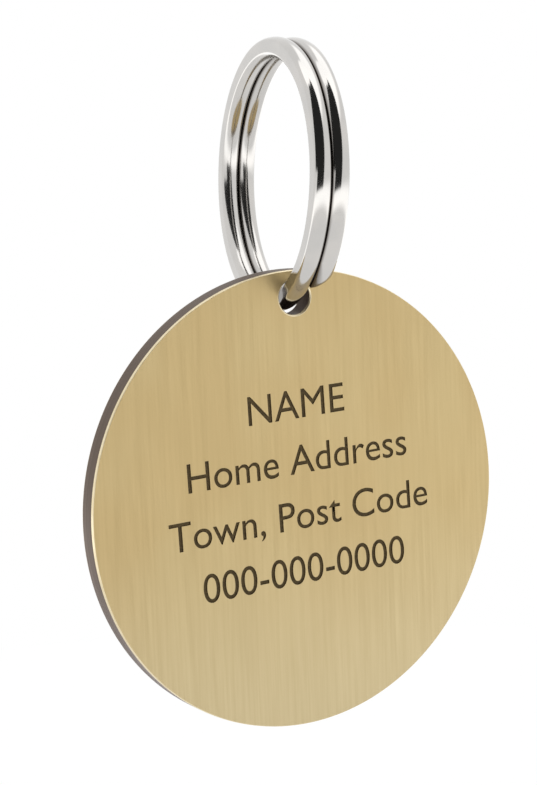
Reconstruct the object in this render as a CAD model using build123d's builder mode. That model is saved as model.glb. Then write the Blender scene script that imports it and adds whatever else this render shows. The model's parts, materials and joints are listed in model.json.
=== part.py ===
"""Round metal pet tag that hangs from a two-turn split ring.

Millimetres, +Z up, the tag's face towards -Y. The origin is the point inside the top of
the ring where a collar's loop bears.
"""

import os
from math import asin, cos, degrees, dist, hypot, radians, sin, sqrt

from build123d import *

# Tag: a flat stamped disc with one hole close to its rim
tag_diameter = 30.0
tag_thickness = 1.5
tag_edge_bevel = 0.12
hole_web = 0.6
hole_edge_bevel = 0.2

# Split ring: flattened spring wire wound twice, with a joggle from one turn to the other.
# The wire's depth is across the ring and its width along the ring's axis. Its inner and
# outer edges are domed, and its two sides are flat.
ring_diameter = 18.0
wire_depth = 1.4
wire_width = 0.92
edge_dome = 0.28
turn_gap = 0.42
joggle_length = 4.6
end_bevel = 0.15

# Bare stretches of wire: from the tag's face to the first end, from the tag's back to the
# joggle, and from the joggle to the second end
front_end_room = 1.5
rear_room = 0.5
second_end_room = 0.5

# Gap between the wire and the hole where they come closest, and how far the hole's middle
# lies from the wire's middle, on the side of the other turn
hole_clearance = 0.14
hole_shift = 0.2

# How the two pieces hang, in degrees: the ring is turned about Z and leaned about Y, and
# the tag sits on the ring in front of its lowest point
ring_turn = 9.0
ring_lean = 3.5
tag_seat_angle = 21.2

# Ring radii, and half the spacing of its two turns
ring_outer = ring_diameter / 2
ring_inner = ring_outer - wire_depth
ring_middle = ring_outer - wire_depth / 2
turn_offset = (wire_width + turn_gap) / 2

# Ring plane: x to the front, y up, z along the ring's axis to the turn that holds the tag
ring_front = Vector(0, -1, 0).rotate(Axis.Z, -ring_turn).rotate(Axis.Y, ring_lean)
ring_up = Vector(0, 0, 1).rotate(Axis.Y, ring_lean)
ring_side = ring_front.cross(ring_up)
ring_plane = Plane(origin=ring_up * -ring_inner, x_dir=ring_front, z_dir=ring_side)
ring_axis = Axis(ring_plane.origin, ring_side)

# The wire bends as it goes through the hole, so it comes closest to the top of the hole
# inside the front bevel and to the bottom of the hole inside the rear bevel. Across the
# hole it lies to one side and goes through at a slant.
seat_front = ring_middle * sin(radians(tag_seat_angle))
half_tag = tag_thickness / 2 / cos(radians(ring_turn))
half_wall = (tag_thickness / 2 - hole_edge_bevel) / cos(radians(ring_turn))
pass_top = sqrt(ring_inner**2 - (seat_front + half_wall) ** 2)
pass_bottom = sqrt(ring_outer**2 - (seat_front - half_wall) ** 2)
half_pass = (pass_bottom - pass_top) / 2
side_reach = hole_shift + half_wall * sin(radians(ring_turn))
dome_reach = hypot(side_reach, half_pass)
corner_reach = hypot(side_reach + wire_width / 2, half_pass - edge_dome)
hole_diameter = 2 * (max(dome_reach, corner_reach) + hole_clearance)

# Tag plane: in the middle of its thickness, x across the face, y up, z to the front
hole_rise = tag_diameter / 2 - hole_web - hole_diameter / 2
hole_drop = (pass_top + pass_bottom) / 2
hole_centre = ring_plane.from_local_coords((seat_front, -hole_drop, turn_offset - hole_shift))
tag_centre = hole_centre - Vector(0, 0, hole_rise)
tag_plane = Plane(origin=tag_centre, x_dir=(1, 0, 0), z_dir=(0, -1, 0))

with BuildPart() as tag_disc:
    with BuildSketch(tag_plane):
        Circle(tag_diameter / 2)
        with Locations((0, hole_rise)):
            Circle(hole_diameter / 2, mode=Mode.SUBTRACT)
    extrude(amount=tag_thickness / 2, both=True)
    round_edges = tag_disc.edges().filter_by(GeomType.CIRCLE).sort_by(SortBy.RADIUS)
    chamfer(round_edges[:2], hole_edge_bevel)
    chamfer(round_edges[-2:], tag_edge_bevel)
tag_disc.part.label = "tag_disc"

# Section of the wire, x across the ring: two flat sides joined by domed edges
half_flat = wire_depth / 2 - edge_dome
half_width = wire_width / 2
with BuildSketch() as wire_section:
    with BuildLine():
        outer_edge = ThreePointArc((half_flat, -half_width), (wire_depth / 2, 0), (half_flat, half_width))
        inner_edge = ThreePointArc((-half_flat, half_width), (-wire_depth / 2, 0), (-half_flat, -half_width))
        Line(outer_edge @ 1, inner_edge @ 0)
        Line(inner_edge @ 1, outer_edge @ 0)
    make_face()


def wire_angle(length):
    """Angle round the ring, in degrees, of a length along the middle of the wire."""
    return degrees(length / ring_middle)


def on_ring(angle, height, radius=ring_middle):
    """Point on the ring, by its angle from the lowest point towards the front."""
    turn = radians(angle)
    return ring_plane.from_local_coords((radius * sin(turn), -radius * cos(turn), height))


def across_wire(angle, height):
    """Plane across the wire: x outwards from the ring's middle, z along the wire."""
    outwards = on_ring(angle, height) - on_ring(angle, height, 0)
    along = ring_side.cross(outwards)
    return Plane(origin=on_ring(angle, height), x_dir=outwards, z_dir=along)


# Angles round the ring where the wire meets the tag, ends and changes from turn to turn
face_angle = degrees(asin((seat_front + half_tag) / ring_middle))
back_angle = degrees(asin((seat_front - half_tag) / ring_middle))
first_end = face_angle + wire_angle(front_end_room)
joggle_top = back_angle - wire_angle(rear_room)
joggle_foot = joggle_top - wire_angle(joggle_length)
second_end = joggle_foot - wire_angle(second_end_room)
full_turn = 360

# Each turn as its first angle, its last angle and its height along the ring's axis
free_turn = (first_end, full_turn + joggle_foot, -turn_offset)
tag_turn = (joggle_top, full_turn + second_end, turn_offset)

# Joggle: two equal arcs, tangent to each other and to the turns that they join. They meet
# on the ring's middle plane, at the one radius where the second arc mirrors the first.
with BuildLine() as joggle:
    middle_angle = (joggle_foot + joggle_top) / 2
    middle_point = on_ring(middle_angle, 0, hypot(ring_middle, turn_offset))
    start_plane = across_wire(joggle_foot, -turn_offset)
    first_bend = TangentArc(start_plane.origin, middle_point, tangent=start_plane.z_dir)
    TangentArc(middle_point, on_ring(joggle_top, turn_offset), tangent=first_bend % 1)
joggle_path = joggle.wire()
joggle_guide = joggle_path.moved(Location(ring_side * wire_width))

with BuildPart() as split_ring:
    for first, last, height in (free_turn, tag_turn):
        with BuildSketch(across_wire(first, height)):
            add(wire_section.sketch)
        revolve(axis=ring_axis, revolution_arc=last - first)
    with BuildSketch(start_plane):
        add(wire_section.sketch)
    sweep(path=joggle_path, binormal=joggle_guide)
    for end_point in (on_ring(free_turn[0], -turn_offset), on_ring(tag_turn[1], turn_offset)):
        end_face = split_ring.faces().filter_by(GeomType.PLANE).sort_by_distance(end_point)[0]
        chamfer(end_face.edges(), end_bevel)
split_ring.part.label = "split_ring"


def turn_stations(first, last, height):
    """Planes across one turn, evenly spaced."""
    steps = 120
    return [across_wire(first + (last - first) * k / steps, height) for k in range(steps + 1)]


def joggle_stations():
    """Planes across the joggle, evenly spaced, with the section upright in each."""
    steps = 20
    stations = []
    for k in range(steps + 1):
        along = joggle_path % (k / steps)
        outwards = along.cross(ring_side)
        stations.append(Plane(origin=joggle_path @ (k / steps), x_dir=outwards, z_dir=along))
    return stations


def least_self_gap():
    """Smallest distance between points on stretches of the wire that aren't neighbours."""
    outline_steps = 24
    outline = [wire_section.wire() @ (k / outline_steps) for k in range(outline_steps)]
    stations = turn_stations(*free_turn) + joggle_stations() + turn_stations(*tag_turn)
    rings = [[tuple(plane.from_local_coords(p)) for p in outline] for plane in stations]
    middles = [tuple(plane.origin) for plane in stations]
    reach = 2 * hypot(wire_depth, wire_width + turn_gap)
    apart = next(k for k, middle in enumerate(middles) if dist(middle, middles[0]) > reach)
    return min(
        dist(p, q)
        for i in range(len(stations))
        for j in range(i + apart, len(stations))
        if dist(middles[i], middles[j]) < reach
        for p in rings[i]
        for q in rings[j]
    )


print(f"hole {hole_diameter:.3f} mm, its middle at {hole_centre}")
print(f"joggle bend radius {first_bend.radius:.2f} mm")
print(f"least gap of the wire to itself {least_self_gap():.3f} mm")

os.makedirs("parts", exist_ok=True)
export_step(tag_disc.part, "parts/tag_disc.step")
export_step(split_ring.part, "parts/split_ring.step")
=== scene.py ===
"""Looks of a round pet tag on its split ring.

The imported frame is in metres. Sizes here are in millimetres, and each piece is shaped in
millimetres before it is brought to scale. Angles are in degrees. Azimuths count from the
front, -Y, and grow to the right, +X.
"""

import json
import math
from collections import namedtuple

import bmesh
import bpy
from mathutils import Matrix, Vector


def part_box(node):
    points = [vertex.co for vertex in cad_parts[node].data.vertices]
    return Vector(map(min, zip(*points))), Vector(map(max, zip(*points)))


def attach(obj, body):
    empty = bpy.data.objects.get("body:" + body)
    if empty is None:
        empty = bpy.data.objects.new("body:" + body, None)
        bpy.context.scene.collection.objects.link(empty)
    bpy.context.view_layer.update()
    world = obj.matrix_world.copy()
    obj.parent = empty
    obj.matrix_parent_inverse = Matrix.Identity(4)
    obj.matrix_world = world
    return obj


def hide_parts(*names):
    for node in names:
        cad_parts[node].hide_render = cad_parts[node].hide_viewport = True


MM = 0.001
IMAGE_HEIGHT_PX = 785

# Camera: where it stands, the point in the middle of its picture, its lens, and the nearest
# distance that it sees
CAMERA_AT = Vector((-70.21, -119.12, -2.33))
CAMERA_AIM = Vector((-3.44, -2.55, -21.33))
CAMERA_ROLL = 2.2
CAMERA_FOCAL_PX = 2100
SENSOR_HEIGHT = 36.0
NEAREST_SEEN = 10.0

# Split ring: its bore, the radius to the middle of its wire and the way it hangs are those
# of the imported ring
RING_BORE = 15.2
RING_MIDDLE = 8.3
RING_TURN = 9.0
RING_LEAN = 3.5

# Wire: its section, with domed outer and inner edges, and how far each turn lies from the
# ring's middle plane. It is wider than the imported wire, so the two turns lie close together.
WIRE_DEPTH = 1.38
WIRE_WIDTH = 1.17
OUTER_DOME = 0.21
INNER_DOME = 0.33
TURN_HEIGHT = 0.6

# Angles along the wire, from the ring's lowest point towards the front: where the rounding
# of its two ends starts, and the foot and top of the joggle
FIRST_END = 42.0
JOGGLE_FOOT = -19.5
JOGGLE_TOP = 12.2
SECOND_END = -27.0

# Ends of the wire: how far they are rounded, how far their cut slants, longer on the side
# of the other turn, over how many stations that slant builds up, and how much wider the
# painted shade of the groove gets there
END_ROUNDING = 0.45
END_SLANT = 0.6
END_STEPS = 8
SLANT_STATIONS = 8
END_GROOVE = 0.5

# Finish of the wire: how far from the ring's middle plane the painted shade of the groove
# reaches, the share of it inside the ring, and the roughness there
GROOVE_REACH = 0.17
INNER_GROOVE = 0.9
INNER_ROUGHNESS = 0.15

# Painted shade where the wire passes through the tag's hole: its angle in the middle of that
# stretch, half of the stretch, its fade, and how dark it is painted
HOLE_SHADE_ANGLE = 21.3
HOLE_SHADE_HALF = 5.6
HOLE_SHADE_FADE = 2.0
HOLE_SHADE_SHARE = 0.6

# Tag: its hole and the rounding of its lips, and how far its edges roll over, across the
# faces and down the rim. The front edge is burnished, and carries its painted highlight,
# further down than the rear one.
HOLE_DIAMETER = 2.26
HOLE_LIP = 0.12
EDGE_REACH = 0.06
FRONT_FALL = 0.22
REAR_FALL = 0.06

# Finish of the tag: depth of the brush and saw marks and of the burnt grain, and how far
# above the tag's middle the painted reflection on its rim starts
MARK_DEPTH = 0.004
BURN_DEPTH = 0.01
RIM_PAINTED_REFLECTION_RISE = 4.0

# Sample text, engraved across the face: height of the capitals, their share of the type's
# size, place and spacing of the lines, their slope and the depth of the cut
SAMPLE_LINES = ("NAME", "Home Address", "Town, Post Code", "000-000-0000")
CAPITAL_HEIGHT = 2.0
CAPITAL_SHARE = 0.729
FIRST_BASELINE = 5.4
LINE_SPACING = 3.64
TEXT_SLOPE = 2.0
CUT_DEPTH = 0.06

# Fineness of the meshes: sides of the disc, the hole and the floor, steps in a letter's
# curve, gap that is welded between letters' points, creases that stay sharp, and how far
# large faces set the shading
DISC_SIDES = 360
HOLE_SIDES = 96
FLOOR_SIDES = 96
LETTER_STEPS = 6
WELD_GAP = 0.0005
TAG_CREASE = 40.0
WIRE_CREASE = 50.0
LARGE_FACE_WEIGHT = 100

# Floor: how far it is below the tag, its size and grey, and its glow where it is seen
FLOOR_DROP = 22.0
FLOOR_RADIUS = 110.0
FLOOR_GREY = 0.9
FLOOR_GLOW = 1.05
FLOOR_GLOW_SHARE = 0.8

# Surroundings that the metal mirrors. A field has a left and a right azimuth, a low and a
# high elevation, a soft edge, a slant and a level of light. A slanted field moves to the
# right by that share of the elevation. Where fields overlap, the later one shows.
WHITE = 1.0
BRIGHT = 1.7
DARK = 0.025
STUDIO_FIELDS = {
    "upper_right_light": (0, 140, 46, 80, 12, 0.0, BRIGHT),
    "low_strip_light": (-180, 180, -17, -12, 10, 0.0, BRIGHT),
    "bright_ceiling": (-180, 180, 76, 90, 4, 0.0, BRIGHT),
    "dark_left": (-85, -41, 9, 76, 4, 0.6, DARK),
    "dark_front": (-45, 6, -6, 76, 4, 0.6, DARK),
}

# Material slots of the tag
FACE, EDGE, RIM = range(3)

# Place along the wire: its point and direction, how far the section is drawn in, and how
# far it is part of an end, lies beside another turn and has painted shade in the tag's hole
Station = namedtuple("Station", "point along shrink end beside rub")

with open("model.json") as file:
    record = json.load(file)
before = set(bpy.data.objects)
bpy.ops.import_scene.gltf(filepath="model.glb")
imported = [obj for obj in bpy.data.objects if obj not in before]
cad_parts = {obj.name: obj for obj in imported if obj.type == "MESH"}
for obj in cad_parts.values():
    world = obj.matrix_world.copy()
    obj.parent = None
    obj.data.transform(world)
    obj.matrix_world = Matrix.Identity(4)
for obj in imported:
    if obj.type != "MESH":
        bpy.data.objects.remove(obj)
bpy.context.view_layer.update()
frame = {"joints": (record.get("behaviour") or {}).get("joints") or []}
tag_low, tag_high = (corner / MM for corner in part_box("tag_disc"))
tag_centre = (tag_low + tag_high) / 2
tag_radius = (tag_high.x - tag_low.x) / 2
tag_half = (tag_high.y - tag_low.y) / 2
hole_centre = Vector(frame["joints"][0]["pos_m"]) / MM

# Ring's own axes and centre, and half of the gap between its turns
lean = Matrix.Rotation(math.radians(RING_LEAN), 3, "Y")
ring_front = lean @ Matrix.Rotation(math.radians(-RING_TURN), 3, "Z") @ Vector((0, -1, 0))
ring_up = lean @ Vector((0, 0, 1))
ring_side = ring_front.cross(ring_up)
ring_centre = -ring_up * (RING_BORE / 2)
groove_half = TURN_HEIGHT - WIRE_WIDTH / 2


def clamp(value):
    """Value held between 0 and 1."""
    return min(max(value, 0.0), 1.0)


def add_node(tree, kind, inputs, **settings):
    """New node whose inputs, by name or number, take a value or a link from a socket."""
    node = tree.nodes.new(kind)
    for name, value in settings.items():
        setattr(node, name, value)
    for key, value in inputs.items():
        if isinstance(value, bpy.types.NodeSocket):
            tree.links.new(value, node.inputs[key])
        else:
            node.inputs[key].default_value = value
    return node


def math_node(tree, operation, *values):
    """Result of one sum on values or sockets."""
    inputs = dict(enumerate(values))
    return add_node(tree, "ShaderNodeMath", inputs, operation=operation).outputs[0]


def rise(tree, value, start, end):
    """0 at the start, 1 at the end and a smooth step between. The end may be the lower one."""
    inputs = {"Value": value, "From Min": start, "From Max": end}
    return add_node(tree, "ShaderNodeMapRange", inputs, interpolation_type="SMOOTHSTEP").outputs[0]


def window(tree, value, low, high, soft):
    """1 between low and high, falling to 0 over a soft edge outside them."""
    opening = rise(tree, value, low - soft, low)
    closing = rise(tree, value, high + soft, high)
    return math_node(tree, "MULTIPLY", opening, closing)


def mix_numbers(tree, share, first, second):
    """Value between two numbers or sockets."""
    inputs = {"Factor": share, "A": first, "B": second}
    return add_node(tree, "ShaderNodeMix", inputs).outputs[0]


def mix_colours(tree, share, first, second):
    """Colour between two colours or sockets."""
    node = add_node(tree, "ShaderNodeMix", {0: share, 6: first, 7: second}, data_type="RGBA")
    return node.outputs[2]


def own_space(tree):
    """Position in the piece's own space, in metres."""
    return tree.nodes.new("ShaderNodeTexCoord").outputs["Object"]


def noise(tree, scale, detail=3.0, roughness=0.55):
    """Noise from 0 to 1 in the piece's own space, with a scale per metre for each axis."""
    mapped = add_node(tree, "ShaderNodeMapping", {"Vector": own_space(tree), "Scale": scale}).outputs[0]
    inputs = {"Vector": mapped, "Scale": 1.0, "Detail": detail, "Roughness": roughness}
    return add_node(tree, "ShaderNodeTexNoise", inputs).outputs[0]


def towards_foot(tree, top):
    """0 above a height, 1 at the tag's foot and a smooth step between."""
    height = add_node(tree, "ShaderNodeSeparateXYZ", {0: own_space(tree)}).outputs["Z"]
    return rise(tree, height, top * MM, tag_low.z * MM)


def wire_finish(tree, name):
    """Share that the wire's points carry under a name."""
    return add_node(tree, "ShaderNodeAttribute", {}, attribute_name=name).outputs["Fac"]


def bump(tree, height, depth, strength):
    """Normal from a height from 0 to 1, whose full step is a depth."""
    inputs = {"Height": height, "Distance": depth * MM, "Strength": strength}
    return add_node(tree, "ShaderNodeBump", inputs).outputs[0]


def new_material(name):
    """Empty material and its node tree."""
    material = bpy.data.materials.new(name)
    material.use_nodes = True
    material.node_tree.nodes.clear()
    return material, material.node_tree


def surface(tree, **sockets):
    """Principled shader as the material's surface."""
    inputs = {name.replace("_", " "): value for name, value in sockets.items()}
    shader = add_node(tree, "ShaderNodeBsdfPrincipled", inputs)
    add_node(tree, "ShaderNodeOutputMaterial", {"Surface": shader.outputs[0]})


def srgb(red, green, blue):
    """Linear colour of a colour written as on a screen, 0 to 255."""
    channels = []
    for level in (red, green, blue):
        share = level / 255
        channels.append(share / 12.92 if share <= 0.04045 else ((share + 0.055) / 1.055) ** 2.4)
    return (*channels, 1.0)


def brushed_brass():
    """Faces of the tag: fine upright brush marks, over a tone with painted light that pales it towards
    the foot.
    """
    brass = srgb(195, 172, 125)
    cloud = srgb(198, 177, 131)
    pale = srgb(213, 196, 155)
    mark = srgb(182, 160, 111)
    mark_fading = 0.74
    material, tree = new_material("brushed_brass")
    fine_marks = noise(tree, (11000, 11000, 220), detail=4.0, roughness=0.7)
    broad_marks = noise(tree, (4200, 4200, 120), detail=2.0)
    clouds = noise(tree, (140, 140, 90), detail=2.0)
    grain = rise(tree, mix_numbers(tree, 0.5, fine_marks, broad_marks), 0.25, 0.75)
    clouded = mix_colours(tree, rise(tree, clouds, 0.35, 0.65), brass, cloud)
    # Painted light: the tone pales towards the foot, as if lit from below
    tone = mix_colours(tree, towards_foot(tree, tag_centre.z), clouded, pale)
    marked = mix_colours(tree, mark_fading, mark, tone)
    surface(
        tree,
        Base_Color=mix_colours(tree, grain, marked, tone),
        Metallic=1.0,
        Roughness=mix_numbers(tree, grain, 0.46, 0.38),
        Normal=bump(tree, fine_marks, MARK_DEPTH, 0.2),
    )
    return material


def polished_brass():
    """Rounded edges of the tag and of its hole, worn bright, and paler still as a painted highlight."""
    # Painted highlight: a pale cream, beyond worn brass, that draws a bright line round the edges
    bright = srgb(236, 222, 188)
    nicked = srgb(226, 210, 172)
    material, tree = new_material("polished_brass")
    nicks = noise(tree, (1100, 1100, 1100))
    surface(
        tree,
        Base_Color=mix_colours(tree, rise(tree, nicks, 0.35, 0.75), bright, nicked),
        Metallic=1.0,
        Roughness=mix_numbers(tree, nicks, 0.33, 0.42),
    )
    return material


def sawn_rim():
    """Rim of the tag: brown-grey and duller than the faces, with fine marks round it, and a
    painted reflection of the floor that pales it towards the foot."""
    brown = srgb(98, 81, 68)
    stain = srgb(118, 100, 87)
    pale = srgb(168, 154, 151)
    mark = srgb(88, 73, 60)
    material, tree = new_material("sawn_rim")
    marks = noise(tree, (60, 14000, 60), detail=4.0, roughness=0.7)
    stains = noise(tree, (260, 900, 260))
    # Painted reflection of the pale floor: the rim pales towards the foot
    foot = towards_foot(tree, tag_centre.z + RIM_PAINTED_REFLECTION_RISE)
    tone = mix_colours(tree, foot, mix_colours(tree, stains, brown, stain), pale)
    surface(
        tree,
        Base_Color=mix_colours(tree, rise(tree, marks, 0.35, 0.7), mark, tone),
        Metallic=0.6,
        Roughness=mix_numbers(tree, stains, 0.44, 0.56),
        Normal=bump(tree, marks, MARK_DEPTH, 0.3),
    )
    return material


def engraved_floor():
    """Burnt floor and walls of the engraved letters."""
    burnt = srgb(70, 55, 28)
    scorched = srgb(98, 80, 42)
    material, tree = new_material("engraved_floor")
    burn = noise(tree, (5000, 5000, 5000), detail=5.0, roughness=0.7)
    surface(
        tree,
        Base_Color=mix_colours(tree, rise(tree, burn, 0.3, 0.7), burnt, scorched),
        Metallic=0.35,
        Roughness=0.62,
        Normal=bump(tree, burn, BURN_DEPTH, 0.5),
    )
    return material


def nickel_plating():
    """Bright plating of the ring with a faint haze, with painted shade in the groove between the
    turns, at the wire's ends and inside the tag's hole, and less polished inside the ring."""
    nickel = srgb(199, 197, 194)
    hazy = srgb(206, 203, 199)
    # Painted shade: dark brown where the turns meet, at the wire's ends and inside the tag's hole
    painted_shade = srgb(74, 64, 56)
    material, tree = new_material("nickel_plating")
    haze = noise(tree, (420, 420, 420))
    specks = noise(tree, (3600, 3600, 3600), detail=4.0)
    plating = mix_colours(tree, rise(tree, haze, 0.35, 0.7), nickel, hazy)
    polish = mix_numbers(tree, specks, 0.07, 0.13)
    surface(
        tree,
        Base_Color=mix_colours(tree, wire_finish(tree, "groove"), plating, painted_shade),
        Metallic=1.0,
        Roughness=mix_numbers(tree, wire_finish(tree, "inner"), polish, INNER_ROUGHNESS),
    )
    return material


def new_object(name, data):
    """Object with its data, linked to the scene."""
    made = bpy.data.objects.new(name, data)
    bpy.context.scene.collection.objects.link(made)
    return made


def new_mesh_object(name, bm, materials):
    """Mesh object made from a bmesh, with its material slots."""
    mesh = bpy.data.meshes.new(name)
    bm.to_mesh(mesh)
    bm.free()
    for material in materials:
        mesh.materials.append(material)
    return new_object(name, mesh)


def final_mesh(made):
    """Mesh of an object with its modifiers, or of a text."""
    depsgraph = bpy.context.evaluated_depsgraph_get()
    return bpy.data.meshes.new_from_object(made.evaluated_get(depsgraph))


def skin(bm, loops, bands):
    """Faces between loops of points, and one over each end. Each band is the material slot of
    one stretch between loops, and the last one is that of both ends."""
    count = len(loops[0])
    for k, band in enumerate(bands[:-1]):
        for i in range(count):
            j = (i + 1) % count
            face = bm.faces.new((loops[k][i], loops[k][j], loops[k + 1][j], loops[k + 1][i]))
            face.material_index = band
    for loop in (loops[0], loops[-1]):
        bm.faces.new(loop).material_index = bands[-1]
    bmesh.ops.recalc_face_normals(bm, faces=bm.faces[:])


def round_corner(radius, height, reach, fall, first, last, steps=8):
    """Points of an oval arc about a centre given by radius and height, between two angles."""
    angles = (math.radians(first + (last - first) * k / steps) for k in range(steps + 1))
    return [(radius + reach * math.cos(a), height + fall * math.sin(a)) for a in angles]


def turned_solid(name, profile, bands, materials, sides):
    """Closed solid turned about Y from a profile of radius and height."""
    bm = bmesh.new()
    angles = [2 * math.pi * k / sides for k in range(sides)]
    loops = [
        [bm.verts.new((radius * math.cos(a), height, radius * math.sin(a))) for a in angles]
        for radius, height in profile
    ]
    skin(bm, loops, bands)
    return new_mesh_object(name, bm, materials)


def rolled_disc(materials):
    """Solid disc whose edges roll over, about its own middle."""
    inner = tag_radius - EDGE_REACH
    front = round_corner(inner, FRONT_FALL - tag_half, EDGE_REACH, FRONT_FALL, -90, 0)
    rear = round_corner(inner, tag_half - REAR_FALL, EDGE_REACH, REAR_FALL, 0, 90)
    edge = [EDGE] * (len(front) - 1)
    bands = edge + [RIM] + edge + [FACE]
    return turned_solid("tag_engraved", front + rear, bands, materials, DISC_SIDES)


def hole_cutter(materials):
    """Solid in the shape of the hole and its rounded lips, past both faces of the disc."""
    lip = HOLE_DIAMETER / 2 + HOLE_LIP
    mouth = tag_half - HOLE_LIP
    overrun = tag_half + HOLE_LIP
    front = round_corner(lip, -mouth, HOLE_LIP, HOLE_LIP, -90, -180)
    rear = round_corner(lip, mouth, HOLE_LIP, HOLE_LIP, 180, 90)
    bore = [(lip, -overrun)] + front + rear + [(lip, overrun)]
    edge = [EDGE] * len(front)
    cutter = turned_solid("hole_cutter", bore, edge + [RIM] + edge + [EDGE], materials, HOLE_SIDES)
    cutter.data.transform(Matrix.Translation(hole_centre - tag_centre))
    return cutter


def text_cutter(material):
    """The sample lines as one solid, across the front of the disc, as deep as the cut."""
    bm = bmesh.new()
    slope = Matrix.Rotation(math.radians(TEXT_SLOPE), 4, "Z")
    upright = Matrix.Rotation(math.radians(90), 4, "X")
    to_front = Matrix.Translation((0, -tag_half, 0))
    for k, line in enumerate(SAMPLE_LINES):
        curve = bpy.data.curves.new("sample_line", "FONT")
        curve.body = line
        curve.align_x = "CENTER"
        curve.resolution_u = LETTER_STEPS
        curve.extrude = CUT_DEPTH
        curve.size = CAPITAL_HEIGHT / CAPITAL_SHARE
        text = new_object("sample_line", curve)
        shape = final_mesh(text)
        baseline = Matrix.Translation((0, FIRST_BASELINE - k * LINE_SPACING, 0))
        shape.transform(to_front @ upright @ slope @ baseline)
        bm.from_mesh(shape)
        bpy.data.objects.remove(text)
    bmesh.ops.remove_doubles(bm, verts=bm.verts[:], dist=WELD_GAP)
    bmesh.ops.recalc_face_normals(bm, faces=bm.faces[:])
    return new_mesh_object("text_cutter", bm, (material,))


def cut_away(solid, *cutters):
    """Cuts the cutters out of a solid, with their materials on the new faces."""
    for cutter in cutters:
        cut = solid.modifiers.new("cut", "BOOLEAN")
        cut.object = cutter
        cut.solver = "EXACT"
        cut.material_mode = "TRANSFER"
    shape = final_mesh(solid)
    solid.modifiers.clear()
    solid.data = shape
    for cutter in cutters:
        bpy.data.objects.remove(cutter)


def smooth(piece, crease):
    """Smooth shading that keeps creases over an angle and leaves flat faces flat."""
    piece.data.shade_smooth()
    piece.data.set_sharp_from_angle(angle=math.radians(crease))
    weighted = piece.modifiers.new("flat_faces", "WEIGHTED_NORMAL")
    weighted.keep_sharp = True
    weighted.weight = LARGE_FACE_WEIGHT


def put_in_frame(piece, transform, body, node):
    """Brings a piece from millimetres to its place in the frame, in place of its node."""
    piece.data.transform(Matrix.Scale(MM, 4) @ transform)
    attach(piece, body)
    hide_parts(node)


def build_tag():
    """Disc with rolled edges, a hole with rounded lips, and the engraved lines."""
    materials = (brushed_brass(), polished_brass(), sawn_rim())
    disc = rolled_disc(materials)
    cut_away(disc, hole_cutter(materials), text_cutter(engraved_floor()))
    smooth(disc, TAG_CREASE)
    put_in_frame(disc, Matrix.Translation(tag_centre), "tag", "tag_disc")


def on_ring(angle, height):
    """Point on the middle of the wire, by its angle from the ring's lowest point to the front."""
    turn = math.radians(angle)
    outward = ring_front * math.sin(turn) - ring_up * math.cos(turn)
    return ring_centre + outward * RING_MIDDLE + ring_side * height


def painted_hole_shade(angle):
    """How much shade is painted on the wire inside the tag's hole, at an angle of the turn that holds
    it.
    """
    away = max(abs(angle - HOLE_SHADE_ANGLE) - HOLE_SHADE_HALF, 0.0)
    return HOLE_SHADE_SHARE * max(1 - away / HOLE_SHADE_FADE, 0.0)


def wire_route(turn_steps=220, joggle_steps=28):
    """Points along the wire, each with how far it lies beside another turn and how much shade is
    painted on it inside the tag's hole."""
    route = []
    free_length = 360 + JOGGLE_FOOT - FIRST_END
    for k in range(turn_steps):
        angle = FIRST_END + free_length * k / turn_steps
        route.append((on_ring(angle, -TURN_HEIGHT), 1.0, 0.0))
    for k in range(joggle_steps):
        share = k / joggle_steps
        angle = JOGGLE_FOOT + (JOGGLE_TOP - JOGGLE_FOOT) * share
        route.append((on_ring(angle, -TURN_HEIGHT * math.cos(math.pi * share)), 0.0, 0.0))
    held_length = 360 + SECOND_END - JOGGLE_TOP
    for k in range(turn_steps + 1):
        angle = JOGGLE_TOP + held_length * k / turn_steps
        route.append((on_ring(angle, TURN_HEIGHT), 1.0, painted_hole_shade(angle)))
    return route


def rounded_end(point, along, side):
    """Stations of a rounded end, from where the rounding starts to its tip. The side is 1 in
    the wire's direction and -1 against it."""
    stations = []
    for k in range(1, END_STEPS + 1):
        turn = math.radians(90 * k / END_STEPS)
        at = point + along * (side * END_ROUNDING * math.sin(turn))
        shrink = END_ROUNDING * (1 - math.cos(turn))
        stations.append(Station(at, along, shrink, end=1.0, beside=1.0, rub=0.0))
    return stations


def wire_stations():
    """Stations along the whole wire, from tip to tip."""
    route = wire_route()
    points = [point for point, _, _ in route]
    last = len(points) - 1
    tangents = [
        (points[min(k + 1, last)] - points[max(k - 1, 0)]).normalized() for k in range(last + 1)
    ]
    stations = rounded_end(points[0], tangents[0], -1)[::-1]
    for k, (point, beside, rub) in enumerate(route):
        end = max(1 - min(k, last - k) / SLANT_STATIONS, 0.0)
        stations.append(Station(point, tangents[k], 0.0, end, beside, rub))
    return stations + rounded_end(points[-1], tangents[-1], 1)


def even_points(outline, count):
    """Points at even distances round a closed outline."""
    corners = outline + outline[:1]
    lengths = [(q - p).length for p, q in zip(corners, corners[1:])]
    pitch = sum(lengths) / count
    points = []
    run = 0.0
    for corner, following, length in zip(corners, corners[1:], lengths):
        while len(points) < count and pitch * len(points) < run + length:
            points.append(corner.lerp(following, (pitch * len(points) - run) / length))
        run += length
    return points


def wire_section(count=64, arc_steps=32, softenings=2):
    """Points round the wire's section: flat sides, domed edges and softened corners."""
    half_width = WIRE_WIDTH / 2
    section = []
    for dome, side in ((OUTER_DOME, 1), (INNER_DOME, -1)):
        radius = (half_width**2 + dome**2) / (2 * dome)
        reach = math.asin(half_width / radius)
        middle = WIRE_DEPTH / 2 - radius
        for k in range(arc_steps + 1):
            turn = reach * (2 * k / arc_steps - 1)
            point = Vector((middle + radius * math.cos(turn), radius * math.sin(turn)))
            section.append(point * side)
    section = even_points(section, count)
    for _ in range(softenings):
        before = section[-1:] + section[:-1]
        after = section[1:] + section[:1]
        section = [(p + q * 2 + r) / 4 for p, q, r in zip(before, section, after)]
    return section


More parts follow.
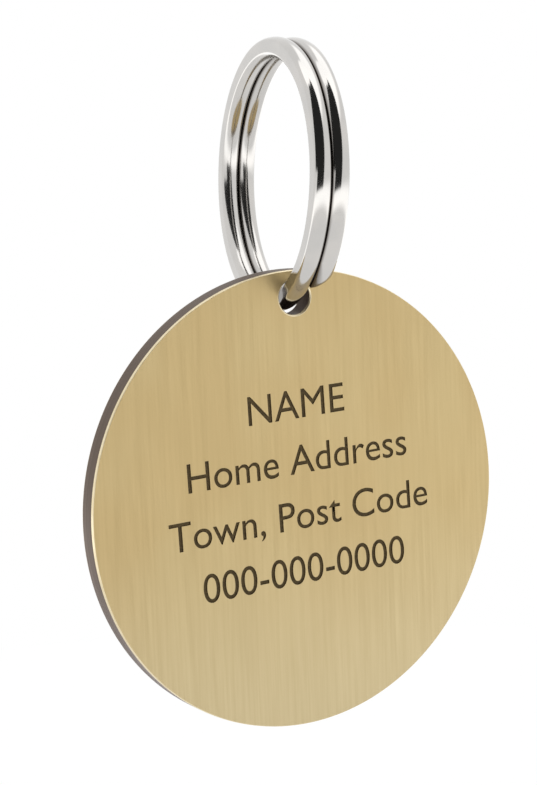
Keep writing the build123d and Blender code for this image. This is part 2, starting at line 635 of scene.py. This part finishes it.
def add_loop(bm, section, station):
    """Points of the section across the wire at a station, with their finish and painted shade. At
    an end they are slanted, and the painted shade of the groove is wider."""
    groove = bm.verts.layers.float["groove"]
    inner = bm.verts.layers.float["inner"]
    # The painted shade of the groove widens towards the wire's ends
    groove_reach = GROOVE_REACH + END_GROOVE * station.end
    outward = station.along.cross(ring_side).normalized()
    across = outward.cross(station.along).normalized()
    loop = []
    for full_depth, full_width in section:
        depth = full_depth * (1 - station.shrink / (WIRE_DEPTH / 2))
        width = full_width * (1 - station.shrink / (WIRE_WIDTH / 2))
        ahead = -END_SLANT * station.end * width / (WIRE_WIDTH / 2)
        vert = bm.verts.new(station.point + outward * depth + across * width + station.along * ahead)
        away = abs((vert.co - ring_centre).dot(ring_side))
        share = clamp((groove_reach - away) / (groove_reach - groove_half))
        side_share = 1.0 if depth > 0 else INNER_GROOVE
        vert[groove] = max(station.beside * side_share * share, station.rub)
        vert[inner] = clamp(0.5 - 2 * depth / WIRE_DEPTH)
        loop.append(vert)
    return loop


def build_ring():
    """Two turns of wire and the joggle between them, as one tube with rounded ends."""
    bm = bmesh.new()
    for finish in ("groove", "inner"):
        bm.verts.layers.float.new(finish)
    section = wire_section()
    loops = [add_loop(bm, section, station) for station in wire_stations()]
    skin(bm, loops, [0] * len(loops))
    wire = new_mesh_object("ring_wire", bm, (nickel_plating(),))
    smooth(wire, WIRE_CREASE)
    put_in_frame(wire, Matrix.Identity(4), "ring", "split_ring")


def build_camera():
    """Camera at the photograph's viewing angle."""
    lens = bpy.data.cameras.new("camera")
    lens.sensor_fit = "VERTICAL"
    lens.sensor_height = SENSOR_HEIGHT
    lens.lens = SENSOR_HEIGHT * CAMERA_FOCAL_PX / IMAGE_HEIGHT_PX
    lens.clip_start = NEAREST_SEEN * MM
    camera = new_object("camera", lens)
    look = (CAMERA_AIM - CAMERA_AT).to_track_quat("-Z", "Y").to_matrix().to_4x4()
    roll = Matrix.Rotation(math.radians(-CAMERA_ROLL), 4, "Z")
    camera.matrix_world = Matrix.Translation(CAMERA_AT * MM) @ look @ roll
    bpy.context.scene.camera = camera


def seen_directly(tree):
    """1 for a ray from the camera, or one mirrored or let through, and 0 for other rays."""
    path = tree.nodes.new("ShaderNodeLightPath").outputs
    mirrored = math_node(tree, "MAXIMUM", path["Is Glossy Ray"], path["Is Transmission Ray"])
    return math_node(tree, "MAXIMUM", path["Is Camera Ray"], mirrored)


def build_floor():
    """Round pale floor under the tag."""
    material, tree = new_material("floor")
    grey = (FLOOR_GREY, FLOOR_GREY, FLOOR_GREY, 1)
    matt = add_node(tree, "ShaderNodeBsdfDiffuse", {"Color": grey}).outputs[0]
    glow = add_node(tree, "ShaderNodeEmission", {"Strength": FLOOR_GLOW}).outputs[0]
    share = math_node(tree, "MULTIPLY", seen_directly(tree), FLOOR_GLOW_SHARE)
    mixed = add_node(tree, "ShaderNodeMixShader", {0: share, 1: matt, 2: glow}).outputs[0]
    add_node(tree, "ShaderNodeOutputMaterial", {"Surface": mixed})
    bm = bmesh.new()
    bmesh.ops.create_circle(bm, cap_ends=True, radius=FLOOR_RADIUS * MM, segments=FLOOR_SIDES)
    floor = new_mesh_object("floor", bm, (material,))
    floor.location = Vector((tag_centre.x, tag_centre.y, tag_low.z - FLOOR_DROP)) * MM


def build_world():
    """White studio with its bright and dark fields, and plain white where the camera sees it."""
    world = bpy.data.worlds.new("studio")
    bpy.context.scene.world = world
    world.use_nodes = True
    tree = world.node_tree
    tree.nodes.clear()
    direction = tree.nodes.new("ShaderNodeTexCoord").outputs["Generated"]
    x, y, z = add_node(tree, "ShaderNodeSeparateXYZ", {0: direction}).outputs
    azimuth = math_node(tree, "ARCTAN2", x, math_node(tree, "MULTIPLY", y, -1.0))
    elevation = math_node(tree, "ARCSINE", z)
    level = WHITE
    for *limits, slant, light in STUDIO_FIELDS.values():
        left, right, low, high, soft = (math.radians(limit) for limit in limits)
        moved = math_node(tree, "SUBTRACT", azimuth, math_node(tree, "MULTIPLY", elevation, slant))
        sideways = window(tree, moved, left, right, soft)
        upright = window(tree, elevation, low, high, soft)
        level = mix_numbers(tree, math_node(tree, "MULTIPLY", sideways, upright), level, light)
    path = tree.nodes.new("ShaderNodeLightPath").outputs
    level = mix_numbers(tree, path["Is Camera Ray"], level, WHITE)
    background = add_node(tree, "ShaderNodeBackground", {"Color": (1, 1, 1, 1), "Strength": level})
    add_node(tree, "ShaderNodeOutputWorld", {"Surface": background.outputs[0]})


bpy.context.scene.view_settings.view_transform = "Standard"
build_camera()
build_world()
build_floor()
build_tag()
build_ring()
